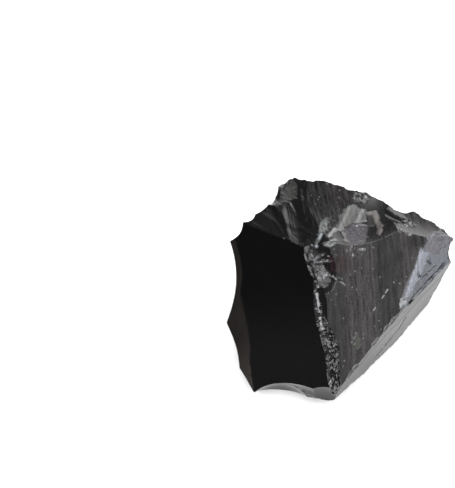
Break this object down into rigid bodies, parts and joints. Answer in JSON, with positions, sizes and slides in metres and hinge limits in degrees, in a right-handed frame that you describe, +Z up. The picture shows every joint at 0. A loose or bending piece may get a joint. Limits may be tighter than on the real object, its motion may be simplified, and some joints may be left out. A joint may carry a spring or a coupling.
{
  "type": "obsidian chunk",
  "caption": "Raw chunk of black obsidian with glassy fracture faces, sharp ridges and a flat face to rest on.",
  "frame": {"origin": "bottom middle of the bounding box, on the plane of the flat base", "axes": "+Z up from the flat base, +X to the right and +Y to the back as seen from the front"},
  "size_m": [0.064, 0.0612, 0.0384],
  "materials": {
    "obsidian": "opaque black volcanic glass: mirror-like to finely striated fracture faces, frosted where crushed"
  },
  "bodies": {
    "root": {"obsidian_chunk": "obsidian"}
  },
  "joints": []
}
